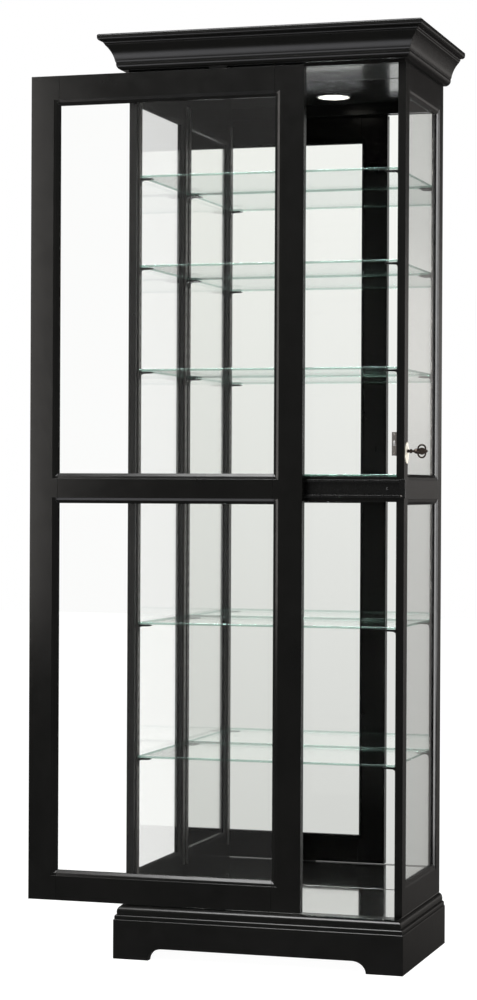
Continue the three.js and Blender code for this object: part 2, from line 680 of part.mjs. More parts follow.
// Skeleton key: bit and shaft in the lock, turned beads outside, and a bow of two rings with a
// medallion and a finial. `tipX` is the end of the shaft inside the lock.
function keyGeometry(tipX) {
  const faceX = CASE.halfWidth;
  const outside = KEY_STEM.map(([reach, radius]) => new THREE.Vector2(radius, faceX + reach));
  const inside = [new THREE.Vector2(0, tipX), new THREE.Vector2(KEY.shaft, tipX)];
  const stem = new THREE.LatheGeometry([...inside, ...outside], 20);
  stem.rotateZ(-Math.PI / 2);

  const bowX = faceX + KEY.bow;
  const rings = [-KEY.ringRise, KEY.ringRise].map((rise) => {
    const ring = new THREE.TorusGeometry(KEY.ring, KEY.wire, 10, 32);
    ring.rotateX(Math.PI / 2);
    return ring.translate(bowX, 0, rise);
  });
  const disc = new THREE.CylinderGeometry(KEY.disc, KEY.disc, KEY.discDepth, 28).translate(bowX, 0, 0);
  const finial = new THREE.SphereGeometry(FINIAL.radius, 12, 8).translate(bowX + FINIAL.reach, 0, 0);
  const bitStart = tipX + KEY_BIT.start;
  const bit = box(
    [bitStart, bitStart + KEY_BIT.length],
    [-KEY_BIT.halfThickness, KEY_BIT.halfThickness],
    [-KEY_BIT.drop, 0],
  );
  return join(stem, disc, finial, bit, ...rings).translate(0, LOCK.y, LOCK.z);
}

// ---------------------------------------------------------------- lamp

function addLamp(group) {
  const mouthZ = CEILING_Z - LAMP.drop;
  const flangeTop = CEILING_Z - GAP;
  const canTop = CEILING_Z + LAMP.rise;
  const innerRadius = LAMP.canRadius - LENS.wall;
  const outline = [
    [LAMP.mouthRadius, mouthZ],
    [LAMP.flangeRadius, mouthZ + 1],
    [LAMP.flangeRadius, flangeTop],
    [LAMP.canRadius, flangeTop],
    [LAMP.canRadius, canTop],
    [0, canTop],
    [0, canTop - LENS.wall],
    [innerRadius, canTop - LENS.wall],
    [innerRadius, mouthZ + LENS.recess],
    [LAMP.mouthRadius, mouthZ + LENS.recess],
    [LAMP.mouthRadius, mouthZ],
  ];
  const housing = new THREE.LatheGeometry(outline.map(([r, z]) => new THREE.Vector2(r, z)), 40);
  housing.rotateX(Math.PI / 2);
  housing.translate(0, LAMP.y, 0);
  addPart(group, 'lamp_housing', housing, blackSteel);

  const lensRadius = LAMP.mouthRadius - GAP;
  const lens = new THREE.CylinderGeometry(lensRadius, lensRadius, LENS.thickness, 40);
  lens.rotateX(Math.PI / 2);
  lens.translate(0, LAMP.y, mouthZ + LENS.thickness / 2);
  addPart(group, 'lamp_lens', lens, frosted);
}

// ---------------------------------------------------------------- assembly

const showcase = new THREE.Group();
addBase(showcase);
addCase(showcase);
addSideFrame(showcase, 'left', -1);
addSideFrame(showcase, 'right', 1);
addCrown(showcase);
addShelves(showcase);
addStandards(showcase);
addTrack(showcase);
addGuide(showcase, 'door_guide_bottom', FLOOR_Z + GAP, 1, GUIDE.lowerRise);
addGuide(showcase, 'door_guide_top', CROWN.bottomZ - GAP, -1, GUIDE.upperRise);
addLock(showcase);
addLamp(showcase);

const carriage = new THREE.Group();
carriage.position.x = DOOR_OPEN / 2;
addCarriage(carriage);
showcase.add(carriage);

const door = new THREE.Group();
door.position.set(DOOR_OPEN, DOOR.frontY, 0);
addDoor(door);
showcase.add(door);

export default showcase;
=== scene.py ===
"""Looks for the glass display showcase: a black lacquered case with a mirrored back, glass shelves
and a sliding glass door. Everything is in metres, in the CAD's frame."""

import json
import math

import bmesh
import bpy
from mathutils import Matrix, Vector


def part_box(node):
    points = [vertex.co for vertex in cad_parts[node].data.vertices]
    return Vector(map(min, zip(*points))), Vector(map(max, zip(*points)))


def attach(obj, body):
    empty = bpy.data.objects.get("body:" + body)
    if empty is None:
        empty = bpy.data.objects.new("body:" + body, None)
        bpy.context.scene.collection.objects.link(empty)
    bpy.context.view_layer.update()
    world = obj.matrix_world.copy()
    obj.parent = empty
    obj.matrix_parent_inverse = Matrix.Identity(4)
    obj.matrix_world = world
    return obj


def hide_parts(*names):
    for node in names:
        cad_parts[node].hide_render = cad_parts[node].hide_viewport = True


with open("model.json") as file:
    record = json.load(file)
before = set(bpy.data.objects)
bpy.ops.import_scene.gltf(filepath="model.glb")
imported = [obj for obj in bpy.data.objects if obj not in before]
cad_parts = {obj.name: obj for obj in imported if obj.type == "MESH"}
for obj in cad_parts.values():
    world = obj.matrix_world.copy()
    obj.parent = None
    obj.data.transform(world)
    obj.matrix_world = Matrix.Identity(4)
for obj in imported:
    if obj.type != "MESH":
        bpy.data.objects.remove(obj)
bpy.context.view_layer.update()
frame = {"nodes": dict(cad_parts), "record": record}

MM = 0.001
NODES = frame["nodes"]
BODY_OF = {n: b for b, ns in frame["record"]["behaviour"]["bodies"].items() for n in ns}
SLOT_OF = {s["node"]: s["material_slot"] for s in frame["record"]["subparts"]}

# The gap left between neighbouring pieces, and the small lift of a piece that lies on a face.
GAP = 0.3 * MM
LIFT = 0.1 * MM

# ------------------------------------------------------------------ shader helpers

# A noise texture's output mostly stays between these two.
NOISE_LOW, NOISE_HIGH = 0.3, 0.7
# How fast glass turns into a mirror towards a shallow angle.
GRAZING_POWER = 5.0


class Shader:
    """A material's node tree with short calls for the nodes used here."""

    def __init__(self, name):
        self.material = bpy.data.materials.new(name)
        self.material.use_nodes = True
        self.nodes = self.material.node_tree.nodes
        self.links = self.material.node_tree.links
        self.bsdf = self.nodes["Principled BSDF"]
        self.out = self.nodes["Material Output"]

    def set(self, **values):
        for key, value in values.items():
            self.bsdf.inputs[key.replace("_", " ")].default_value = value
        return self

    def link(self, value, socket):
        self.links.new(value, self.bsdf.inputs[socket])
        return self

    def coords(self, scale=(1, 1, 1)):
        source = self.nodes.new("ShaderNodeTexCoord")
        mapping = self.nodes.new("ShaderNodeMapping")
        mapping.inputs["Scale"].default_value = scale
        self.links.new(source.outputs["Object"], mapping.inputs["Vector"])
        return mapping.outputs["Vector"]

    def noise(self, scale, detail=3.0, roughness=0.5, stretch=(1, 1, 1)):
        node = self.nodes.new("ShaderNodeTexNoise")
        node.inputs["Scale"].default_value = scale
        node.inputs["Detail"].default_value = detail
        node.inputs["Roughness"].default_value = roughness
        self.links.new(self.coords(stretch), node.inputs["Vector"])
        return node.outputs["Fac"]

    def colour(self, noise, dark, light):
        """A base colour that wanders between two colours."""
        node = self.nodes.new("ShaderNodeValToRGB")
        first, last = node.color_ramp.elements
        first.position, first.color = NOISE_LOW, (*dark, 1)
        last.position, last.color = NOISE_HIGH, (*light, 1)
        self.links.new(noise, node.inputs["Fac"])
        return self.link(node.outputs["Color"], "Base Color")

    def roughness(self, noise, low, high):
        """A roughness that wanders between two values."""
        node = self.nodes.new("ShaderNodeMapRange")
        node.inputs["From Min"].default_value = NOISE_LOW
        node.inputs["From Max"].default_value = NOISE_HIGH
        node.inputs["To Min"].default_value = low
        node.inputs["To Max"].default_value = high
        self.links.new(noise, node.inputs["Value"])
        return self.link(node.outputs["Result"], "Roughness")

    def bump(self, height, strength, distance):
        node = self.nodes.new("ShaderNodeBump")
        node.inputs["Strength"].default_value = strength
        node.inputs["Distance"].default_value = distance
        self.links.new(height, node.inputs["Height"])
        return self.link(node.outputs["Normal"], "Normal")

    def calculate(self, operation, value, number):
        node = self.nodes.new("ShaderNodeMath")
        node.operation = operation
        self.links.new(value, node.inputs[0])
        node.inputs[1].default_value = number
        return node.outputs["Value"]

    def thin_glass(self, tint, shine, grazing_shine=1.0):
        """Clear glass that mirrors more at a shallow angle. `shine` is what it mirrors head on, and
        `grazing_shine` what it mirrors at the shallowest angle."""
        weight = self.nodes.new("ShaderNodeLayerWeight")
        weight.inputs["Blend"].default_value = 0.5
        grazing = self.calculate("POWER", weight.outputs["Facing"], GRAZING_POWER)
        grazing = self.calculate("MULTIPLY", grazing, grazing_shine - shine)
        fresnel = self.calculate("ADD", grazing, shine)
        clear = self.nodes.new("ShaderNodeBsdfTransparent")
        clear.inputs["Color"].default_value = (*tint, 1)
        mix = self.nodes.new("ShaderNodeMixShader")
        self.links.new(fresnel, mix.inputs["Fac"])
        self.links.new(clear.outputs["BSDF"], mix.inputs[1])
        self.links.new(self.bsdf.outputs["BSDF"], mix.inputs[2])
        self.links.new(mix.outputs["Shader"], self.out.inputs["Surface"])
        return self


# ------------------------------------------------------------------ materials


def satin_black():
    s = Shader("satin_black_lacquer")
    s.set(IOR=1.5, Specular_IOR_Level=0.07)
    s.colour(s.noise(9.0, 4.0, 0.6), (0.0019, 0.0019, 0.0017), (0.0034, 0.0033, 0.0030))
    s.roughness(s.noise(28.0, 5.0, 0.65), 0.16, 0.22)
    return s.bump(s.noise(900.0, 2.0), 0.025, 0.2 * MM).material


def gloss_black(name, coat, coat_roughness):
    s = Shader(name)
    s.set(IOR=1.5, Specular_IOR_Level=0.5)
    s.set(Coat_Weight=coat, Coat_Roughness=coat_roughness, Coat_IOR=1.6)
    s.colour(s.noise(6.0), (0.006, 0.006, 0.0058), (0.011, 0.011, 0.0105))
    s.roughness(s.noise(20.0, 4.0, 0.6), 0.07, 0.13)
    return s.bump(s.noise(60.0, 2.0), 0.05, 0.2 * MM).material


def back_board():
    s = Shader("hardboard")
    fibres = s.noise(160.0, 5.0, 0.7, (1, 1, 0.35))
    s.colour(fibres, (0.10, 0.062, 0.036), (0.21, 0.14, 0.085))
    s.set(Roughness=0.85)
    return s.bump(fibres, 0.3, 0.4 * MM).material


def mirror():
    s = Shader("silvered_glass")
    s.set(Base_Color=(0.90, 0.915, 0.905, 1), Metallic=1.0)
    return s.roughness(s.noise(3.0, 3.0), 0.0, 0.012).material


def pane_glass():
    s = Shader("clear_pane_glass")
    s.set(Base_Color=(0.9, 0.9, 0.9, 1), Metallic=1.0, Roughness=0.0)
    return s.thin_glass((0.985, 0.987, 0.983), 0.012).material


def shelf_glass():
    s = Shader("clear_shelf_glass")
    s.set(Base_Color=(0.97, 0.985, 0.98, 1), Metallic=1.0, Roughness=0.0)
    return s.thin_glass((0.975, 0.99, 0.984), 0.03, 0.5).material


def shelf_edge():
    s = Shader("green_shelf_edge")
    s.set(Base_Color=(0.24, 0.34, 0.31, 1), Metallic=1.0)
    s.roughness(s.noise(14.0), 0.15, 0.3)
    return s.thin_glass((0.50, 0.63, 0.585), 0.08).material


METAL_GRAIN = 300.0


def metal(name, dark, light, roughness, streak=(1, 1, 1), metallic=1.0, specular=0.5):
    """Metal between two colours and two roughnesses; `streak` stretches its grain."""
    s = Shader(name)
    s.set(Metallic=metallic, Specular_IOR_Level=specular)
    s.colour(s.noise(30.0, 4.0, 0.6, streak), dark, light)
    s.roughness(s.noise(METAL_GRAIN, 3.0, 0.6, streak), *roughness)
    return s.bump(s.noise(METAL_GRAIN * 2, 2.0, 0.5, streak), 0.08, 0.2 * MM).material


def black_paint():
    dark, light = (0.0015, 0.0015, 0.0015), (0.003, 0.003, 0.0028)
    return metal("black_painted_steel", dark, light, (0.2, 0.3), metallic=0.0, specular=0.08)


def dark_plate():
    dark, light = (0.035, 0.032, 0.03), (0.075, 0.07, 0.065)
    return metal("dark_plated_steel", dark, light, (0.3, 0.45), (1, 1, 0.1))


def zinc_plate():
    dark, light = (0.20, 0.20, 0.20), (0.34, 0.34, 0.33)
    return metal("zinc_plated_steel", dark, light, (0.25, 0.4), (0.2, 1, 1))


def pale_brass():
    dark, light = (0.86, 0.80, 0.66), (0.96, 0.92, 0.82)
    return metal("pale_brass", dark, light, (0.25, 0.4), metallic=0.3)


def dark_bronze():
    dark, light = (0.010, 0.008, 0.007), (0.030, 0.023, 0.019)
    return metal("dark_bronze", dark, light, (0.26, 0.4))


def nylon():
    s = Shader("black_nylon")
    s.set(Specular_IOR_Level=0.1)
    s.colour(s.noise(50.0), (0.018, 0.018, 0.018), (0.035, 0.035, 0.034))
    s.roughness(s.noise(200.0), 0.45, 0.6)
    return s.bump(s.noise(1500.0), 0.1, 0.2 * MM).material


# The lens glows at its full strength up to the first radius, and falls to its rim's by the second.
LENS_CORE, LENS_RIM = 18 * MM, 37 * MM
LENS_CORE_GLOW, LENS_RIM_GLOW = 7.0, 0.2


def lamp_lens():
    s = Shader("lit_lens")
    s.colour(s.noise(90.0), (0.9, 0.86, 0.78), (1.0, 0.96, 0.88))
    s.set(Roughness=0.4, Emission_Color=(1.0, 0.94, 0.84, 1))
    low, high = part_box("lamp_lens")
    away = s.nodes.new("ShaderNodeVectorMath")
    away.operation = "DISTANCE"
    s.links.new(s.coords(), away.inputs[0])
    away.inputs[1].default_value = (low + high) / 2
    fade = s.nodes.new("ShaderNodeMapRange")
    fade.interpolation_type = "SMOOTHSTEP"
    fade.inputs["From Min"].default_value = LENS_CORE
    fade.inputs["From Max"].default_value = LENS_RIM
    fade.inputs["To Min"].default_value = LENS_CORE_GLOW
    fade.inputs["To Max"].default_value = LENS_RIM_GLOW
    s.links.new(away.outputs["Value"], fade.inputs["Value"])
    return s.link(fade.outputs["Result"], "Emission Strength").material


MATERIALS = {
    "satin_black_wood": satin_black(),
    "gloss_black_panel": gloss_black("gloss_black_laminate", 1.0, 0.04),
    "back_board": back_board(),
    "mirror_silver": mirror(),
    "clear_pane": pane_glass(),
    "shelf_glass": shelf_glass(),
    "black_steel": black_paint(),
    "dark_steel": dark_plate(),
    "grey_steel": zinc_plate(),
    "polished_brass": pale_brass(),
    "dark_bronze": dark_bronze(),
    "black_nylon": nylon(),
    "lamp_lens": lamp_lens(),
}
SHELF_EDGE = shelf_edge()
SPECIAL_FINISH = {"top_panel": gloss_black("softer_black_laminate", 0.28, 0.22)}

# ------------------------------------------------------------------ eased CAD pieces

# How wide the sharp edges of each material are eased. Nodes of the other slots keep the CAD's
# shape, or get pieces of their own below.
EASED = {
    "satin_black_wood": 0.3 * MM,
    "gloss_black_panel": 0.6 * MM,
    "black_steel": 0.7 * MM,
    "grey_steel": 0.3 * MM,
    "polished_brass": 0.25 * MM,
    "black_nylon": 0.3 * MM,
    "clear_pane": 0.3 * MM,
    "mirror_silver": 0.5 * MM,
}
# Glass and mirror are shaded flat.
FLAT_SLOTS = ("clear_pane", "mirror_silver")
SAME_POINT = 0.001 * MM
SAME_PLANE = math.radians(0.5)
SHARP_EDGE = math.radians(25)
SHADING_EDGE = math.radians(50)
EASE_SEGMENTS = 2


def ease(b, edges, width, clamp=False):
    bmesh.ops.bevel(
        b,
        geom=edges,
        offset=width,
        offset_type="OFFSET",
        segments=EASE_SEGMENTS,
        profile=0.5,
        affect="EDGES",
        clamp_overlap=clamp,
    )


def finish_piece(mesh, name, body, slot, materials=None):
    """Puts a finished mesh in the scene as a piece that rides on `body`."""
    piece = bpy.data.objects.new(name, mesh)
    bpy.context.scene.collection.objects.link(piece)
    for material in materials or [MATERIALS[slot]]:
        mesh.materials.append(material)
    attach(piece, body)
    return piece


def harden(piece):
    """Keeps wide faces flat and lets the narrow eased edges carry the turn between them."""
    piece.data.set_sharp_from_angle(angle=SHADING_EDGE)
    modifier = piece.modifiers.new("weighted", "WEIGHTED_NORMAL")
    modifier.keep_sharp = True
    modifier.weight = 100
    bpy.context.view_layer.update()
    depsgraph = bpy.context.evaluated_depsgraph_get()
    hardened = bpy.data.meshes.new_from_object(piece.evaluated_get(depsgraph))
    piece.modifiers.clear()
    piece.data = hardened


def eased_piece(node, width):
    """A copy of a CAD node's shape with its sharp edges eased. It stands for the node."""
    mesh = bpy.data.meshes.new(node + "_eased")
    b = bmesh.new()
    b.from_mesh(NODES[node].data)
    bmesh.ops.remove_doubles(b, verts=b.verts, dist=SAME_POINT)
    bmesh.ops.dissolve_limit(b, angle_limit=SAME_PLANE, verts=b.verts, edges=b.edges)
    closed = [e for e in b.edges if len(e.link_faces) == 2]
    ease(b, [e for e in closed if e.calc_face_angle() > SHARP_EDGE], width, clamp=True)
    flat = SLOT_OF[node] in FLAT_SLOTS
    for face in b.faces:
        face.smooth = not flat
    b.to_mesh(mesh)
    b.free()
    special = [SPECIAL_FINISH[node]] if node in SPECIAL_FINISH else None
    piece = finish_piece(mesh, node + "_eased", BODY_OF[node], SLOT_OF[node], special)
    if not flat:
        harden(piece)
    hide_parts(node)


for node, slot in SLOT_OF.items():
    NODES[node].data.materials.clear()
    NODES[node].data.materials.append(MATERIALS[slot])
for node, slot in SLOT_OF.items():
    if slot in EASED:
        eased_piece(node, EASED[slot])

# ------------------------------------------------------------------ shaped pieces

TURNED_SIDES = 24


def new_piece(name, build, body, slot, materials=None, smooth=False):
    """Makes a piece from a function that fills a bmesh."""
    b = bmesh.new()
    build(b)
    bmesh.ops.recalc_face_normals(b, faces=b.faces)
    for face in b.faces:
        face.smooth = smooth
    mesh = bpy.data.meshes.new(name)
    b.to_mesh(mesh)
    b.free()
    piece = finish_piece(mesh, name, body, slot, materials)
    if smooth:
        harden(piece)
    return piece


def add_box(b, low, high, easing):
    """A closed box with eased edges."""
    size = Vector(high) - Vector(low)
    centre = (Vector(high) + Vector(low)) / 2
    matrix = Matrix.Translation(centre) @ Matrix.Diagonal((*size, 1))
    made = bmesh.ops.create_cube(b, size=1.0, matrix=matrix)
    ease(b, list({e for v in made["verts"] for e in v.link_edges}), easing)


def add_prism(b, outline, axis, start, end):
    """A closed prism: outline points are 3-D, and the prism runs along axis from start to end."""
    step = Vector(axis)
    near = [b.verts.new(Vector(p) + step * start) for p in outline]
    far = [b.verts.new(Vector(p) + step * end) for p in outline]
    b.faces.new(near)
    b.faces.new(list(reversed(far)))
    for i in range(len(outline)):
        j = (i + 1) % len(outline)
        b.faces.new((near[i], far[i], far[j], near[j]))


def add_turned(b, profile, matrix):
    """A turned solid from (radius, height) pairs that start and end on the axis, at radius 0."""
    rings = []
    for radius, height in profile:
        if radius == 0:
            rings.append([b.verts.new(matrix @ Vector((0, 0, height)))])
            continue
        ring = []
        for k in range(TURNED_SIDES):
            turn = 2 * math.pi * k / TURNED_SIDES
            point = Vector((radius * math.cos(turn), radius * math.sin(turn), height))
            ring.append(b.verts.new(matrix @ point))
        rings.append(ring)
    for low, high in zip(rings, rings[1:]):
        for k in range(TURNED_SIDES):
            n = (k + 1) % TURNED_SIDES
            corners = [low[k % len(low)], low[n % len(low)]]
            corners += [high[n % len(high)], high[k % len(high)]]
            b.faces.new(list(dict.fromkeys(corners)))


# Retaining beads hold each pane in its rabbet, from the inside. Their top slopes down to a lip.

BEAD_WIDTH = 7.6 * MM
BEAD_SLOPE = 0.86
BEAD_LIP = 0.35
BEAD_STEPS = 6


def bead_ring(name, centre, across, half_width, half_height, depth, body):
    """A mitred ring of bead. `across` is the level direction along the pane, and `depth` points
    away from the pane by the bead's height."""
    rise = depth.length
    inward = depth.normalized()
    section = [(0.0, 0.0), (BEAD_WIDTH, 0.0)]
    for k in range(BEAD_STEPS + 1):
        climb = math.sin(math.pi / 2 * k / BEAD_STEPS)
        inset = BEAD_WIDTH * (1 - BEAD_SLOPE * climb)
        section.append((inset, rise * (BEAD_LIP + (1 - BEAD_LIP) * climb)))
    section.append((0.0, rise))
    up = Vector((0, 0, 1))

    def build(b):
        loops = []
        for sx, sz in ((-1, -1), (1, -1), (1, 1), (-1, 1)):
            loop = []
            for inset, height in section:
                place = centre + across * sx * (half_width - inset)
                place = place + up * sz * (half_height - inset)
                loop.append(b.verts.new(place + inward * height))
            loops.append(loop)
        for k in range(4):
            here, there = loops[k], loops[(k + 1) % 4]
            for m in range(len(section)):
                n = (m + 1) % len(section)
                b.faces.new((here[m], here[n], there[n], there[m]))

    new_piece(name, build, body, "satin_black_wood", smooth=True)


def door_bead(level):
    low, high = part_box(f"door_pane_{level}")
    half = (high - low) / 2
    centre = (low + high) / 2
    centre.y = high.y + GAP
    depth = Vector((0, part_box("door_mid_rail")[1].y - centre.y - GAP, 0))
    across = Vector((1, 0, 0))
    bead_ring(f"door_bead_{level}", centre, across, half.x + GAP, half.z + GAP, depth, "door")


def side_bead(side, sign, level):
    low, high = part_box(f"side_{side}_pane_{level}")
    half = (high - low) / 2
    centre = (low + high) / 2
    centre.x = (low.x if sign > 0 else high.x) - sign * GAP
    frame_low, frame_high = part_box(f"side_{side}_mid_rail")
    inner = frame_low.x if sign > 0 else frame_high.x
    depth = Vector((inner - centre.x + sign * GAP, 0, 0))
    name, across = f"side_{side}_bead_{level}", Vector((0, 1, 0))
    bead_ring(name, centre, across, half.y + GAP, half.z + GAP, depth, "cabinet")


def build_beads():
    for level in ("lower", "upper"):
        door_bead(level)
        side_bead("left", -1, level)
        side_bead("right", 1, level)


# Glass shelves with ground edges.

SHELF_EASING = 0.8 * MM
LEVEL_FACE = 0.95


def shelf_piece(node):
    low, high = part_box(node)
    finishes = [MATERIALS["shelf_glass"], SHELF_EDGE]

    def build(b):
        add_box(b, low, high, SHELF_EASING)

    piece = new_piece(node + "_ground", build, "cabinet", "shelf_glass", finishes)
    for face in piece.data.polygons:
        face.material_index = 0 if abs(face.normal.z) > LEVEL_FACE else 1
    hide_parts(node)


# Slotted shelf standards and the clips that hook into them.

STRIP_THICKNESS = 2.5 * MM
STRIP_HALF_WIDTH = 7 * MM
STRIP_PLAIN_ENDS = 20 * MM
SLOT_WIDTH = 3.2 * MM
SLOT_HEIGHT = 9 * MM
SLOT_PITCH = 24 * MM
CLIP_HALF_WIDTH = 5 * MM
CLIP_EASING = 0.25 * MM
# A clip from the side, in mm: how far from the strip's face, and how high above the shelf's seat.
CLIP_OUTLINE = [
    (0.1, -17),
    (0.1, 0),
    (25, -0.4),
    (29, -1.6),
    (29, -3.0),
    (24, -4.2),
    (6, -4.4),
    (1.2, -7),
    (0.7, -17),
]


def strip_piece(node, sign):
    """A pressed steel strip with a row of slots. Its face looks into the case."""
    low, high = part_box(node)
    wall = high.x if sign > 0 else low.x
    face = wall - sign * STRIP_THICKNESS
    middle = (low.y + high.y) / 2
    count = int((high.z - low.z - STRIP_PLAIN_ENDS) / SLOT_PITCH)
    start = low.z + ((high.z - low.z) - (count - 1) * SLOT_PITCH) / 2
    levels = [low.z]
    for k in range(count):
        at = start + k * SLOT_PITCH
        levels += [at - SLOT_HEIGHT / 2, at + SLOT_HEIGHT / 2]
    levels.append(high.z)
    slot_half = SLOT_WIDTH / 2
    columns = [middle - STRIP_HALF_WIDTH, middle - slot_half, middle + slot_half]
    columns.append(middle + STRIP_HALF_WIDTH)

    def build(b):
        grid = {}
        for x in (wall, face):
            for i, y in enumerate(columns):
                for j, z in enumerate(levels):
                    grid[x, i, j] = b.verts.new((x, y, z))

        def quad(*corners):
            b.faces.new([grid[corner] for corner in corners])

        for j in range(len(levels) - 1):
            is_slot = j % 2 == 1
            for i in range(3):
                if i == 1 and is_slot:
                    continue
                for x in (wall, face):
                    quad((x, i, j), (x, i + 1, j), (x, i + 1, j + 1), (x, i, j + 1))
            for i in (0, 3, 1, 2) if is_slot else (0, 3):
                quad((wall, i, j), (face, i, j), (face, i, j + 1), (wall, i, j + 1))
            if is_slot:
                for k in (j, j + 1):
                    quad((wall, 1, k), (face, 1, k), (face, 2, k), (wall, 2, k))
        for i in range(3):
            for j in (0, len(levels) - 1):
                quad((wall, i, j), (face, i, j), (face, i + 1, j), (wall, i + 1, j))

    piece = new_piece(node + "_slotted", build, "cabinet", "dark_steel")
    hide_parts(node)
    return face, middle


def clip_piece(name, face, sign, y, seat):
    """A bent steel clip: a plate against the strip and a thin tapered tongue under the shelf."""
    outline = [(face - sign * out * MM, y, seat + rise * MM) for out, rise in CLIP_OUTLINE]

    def build(b):
        add_prism(b, outline, (0, 1, 0), -CLIP_HALF_WIDTH, CLIP_HALF_WIDTH)
        ease(b, list(b.edges), CLIP_EASING, clamp=True)

    new_piece(name, build, "cabinet", "black_steel", smooth=True)


SHELVES = ("bottom", "lower", "middle", "upper", "high", "top")
STRIPS = {
    "shelf_standard_left_front": (-1, ("bottom", "lower", "upper", "high", "top")),
    "shelf_standard_left_back": (-1, SHELVES),
    "shelf_standard_right_back": (1, SHELVES),
    "shelf_standard_right_front_lower": (1, ("bottom", "lower")),
    "shelf_standard_right_front_upper": (1, ("upper", "high", "top")),
}


def build_shelf_hardware():
    for level in SHELVES:
        shelf_piece(f"shelf_{level}")
    for node, (sign, levels) in STRIPS.items():
        face, middle = strip_piece(node, sign)
        for level in levels:
            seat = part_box(f"shelf_{level}")[0].z - GAP
            name = node.replace("standard", "clip") + "_" + level
            clip_piece(name, face, sign, middle, seat)


# Screws in the track and the lock, and the bracket at the track's right end.

FORWARD = (0, -1, 0)
RIGHTWARD = (1, 0, 0)
SCREW_SUNK = 0.4 * MM
SCREW_RISE = 0.35
SCREW_RECESS_RADIUS = 0.2
SCREW_RECESS_LEVEL = 0.5
TRACK_WALL = 1.5 * MM
TRACK_SCREW_X = 272.5 * MM
TRACK_SCREW_RADIUS = 3.4 * MM
BRACKET_REACH = 9 * MM
BRACKET_FACE = 0.9 * MM
BRACKET_EASING = 0.2 * MM
BRACKET_SCREW_INSET = (4 * MM, 5 * MM)
BRACKET_SCREW_RADIUS = 1.8 * MM
LOCK_SCREW_INSET = 5 * MM
LOCK_SCREW_RADIUS = 2.2 * MM
ESCUTCHEON_SCREW_RADIUS = 1.6 * MM


def screw(name, place, outward, radius, slot):
    """A raised screw head with a small round recess, facing along `outward`."""
    turn = Vector(outward).to_track_quat("Z", "Y").to_matrix().to_4x4()
    matrix = Matrix.Translation(place) @ turn
    rise = radius * SCREW_RISE
    profile = [(0, -SCREW_SUNK), (radius, -SCREW_SUNK), (radius, 0.0)]
    for turn_up in (math.pi / 8, math.pi / 4, 3 * math.pi / 8):
        profile.append((radius * math.cos(turn_up), rise * math.sin(turn_up)))
    profile.append((radius * SCREW_RECESS_RADIUS, rise * SCREW_RECESS_LEVEL))
    profile.append((0, rise * SCREW_RECESS_LEVEL))
    new_piece(name, lambda b: add_turned(b, profile, matrix), "cabinet", slot, smooth=True)


def build_track_hardware():
    low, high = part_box("slide_track")
    place = Vector((TRACK_SCREW_X, high.y - TRACK_WALL - LIFT, (low.z + high.z) / 2))
    screw("track_screw", place, FORWARD, TRACK_SCREW_RADIUS, "black_steel")
    low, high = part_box("slide_end_stop")
    face = low.y - BRACKET_FACE

    def bracket(b):
        near = (low.x - BRACKET_REACH, face, low.z)
        add_box(b, near, (high.x, low.y - LIFT, high.z), BRACKET_EASING)

    new_piece("slide_end_bracket", bracket, "cabinet", "black_steel")
    across, up = BRACKET_SCREW_INSET
    place = Vector((low.x - across, face, low.z + up))
    screw("slide_end_screw", place, FORWARD, BRACKET_SCREW_RADIUS, "dark_steel")


def build_lock_hardware():
    low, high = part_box("lock_case")
    for k, z in enumerate((low.z + LOCK_SCREW_INSET, high.z - LOCK_SCREW_INSET)):
        place = Vector(((low.x + high.x) / 2, low.y - LIFT, z))
        screw(f"lock_screw_{k}", place, FORWARD, LOCK_SCREW_RADIUS, "dark_steel")
    low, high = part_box("lock_escutcheon")
    for k, z in enumerate((low.z + LOCK_SCREW_INSET, high.z - LOCK_SCREW_INSET)):
        place = Vector((high.x + LIFT / 2, (low.y + high.y) / 2, z))
        screw(f"escutcheon_screw_{k}", place, RIGHTWARD, ESCUTCHEON_SCREW_RADIUS, "polished_brass")


build_beads()
build_shelf_hardware()
build_track_hardware()
build_lock_hardware()

# ------------------------------------------------------------------ studio

STAGE_HALF = 14
# The glow that polished faces catch from low in front.
LOW_GLOW = 12.0
# Backgrounds by the height of the direction, from -1 to 1. In front it is a pale studio.
FRONT_SKY = [(-0.16, (0.72, 0.72, 0.705)), (0.0, (0.90, 0.897, 0.88)), (0.12, (1.03, 1.025, 1.0))]
# Low in front there is a bright floor far away.
DARK, BRIGHT = (0, 0, 0), (0.95, 0.95, 1)
LOW_SKY = [(-0.66, DARK), (-0.55, BRIGHT), (-0.34, BRIGHT), (-0.28, DARK)]
# Behind there is a dim and slightly warm room, given by its level at each height.
BACK_LEVELS = [
    (-0.19, 0.07),
    (-0.16, 0.17),
    (-0.1, 0.24),
    (0, 0.30),
    (0.035, 0.58),
    (0.075, 0.50),
    (0.1, 0.22),
    (0.16, 0.07),
]
BACK_SKY = [(height, (level, level * 0.95, level * 0.91)) for height, level in BACK_LEVELS]
# The front gives way to the back between these values of the direction's Y.
FRONT_ENDS, BACK_STARTS = -0.1, 0.3


def stage_material():
    s = Shader("pale_floor")
    s.colour(s.noise(2.0), (0.20, 0.20, 0.20), (0.22, 0.22, 0.22))
    s.set(Roughness=0.95, Specular_IOR_Level=0.1)
    return s.set(Emission_Color=(1, 1, 1, 1), Emission_Strength=0.97).material


def build_stage():
    corners = [(x * STAGE_HALF, y * STAGE_HALF, 0) for x, y in ((-1, -1), (1, -1), (1, 1), (-1, 1))]
    mesh = bpy.data.meshes.new("floor")
    mesh.from_pydata(corners, [], [(0, 1, 2, 3)])
    mesh.materials.append(stage_material())
    floor = bpy.data.objects.new("floor", mesh)
    bpy.context.scene.collection.objects.link(floor)
    floor.visible_glossy = False


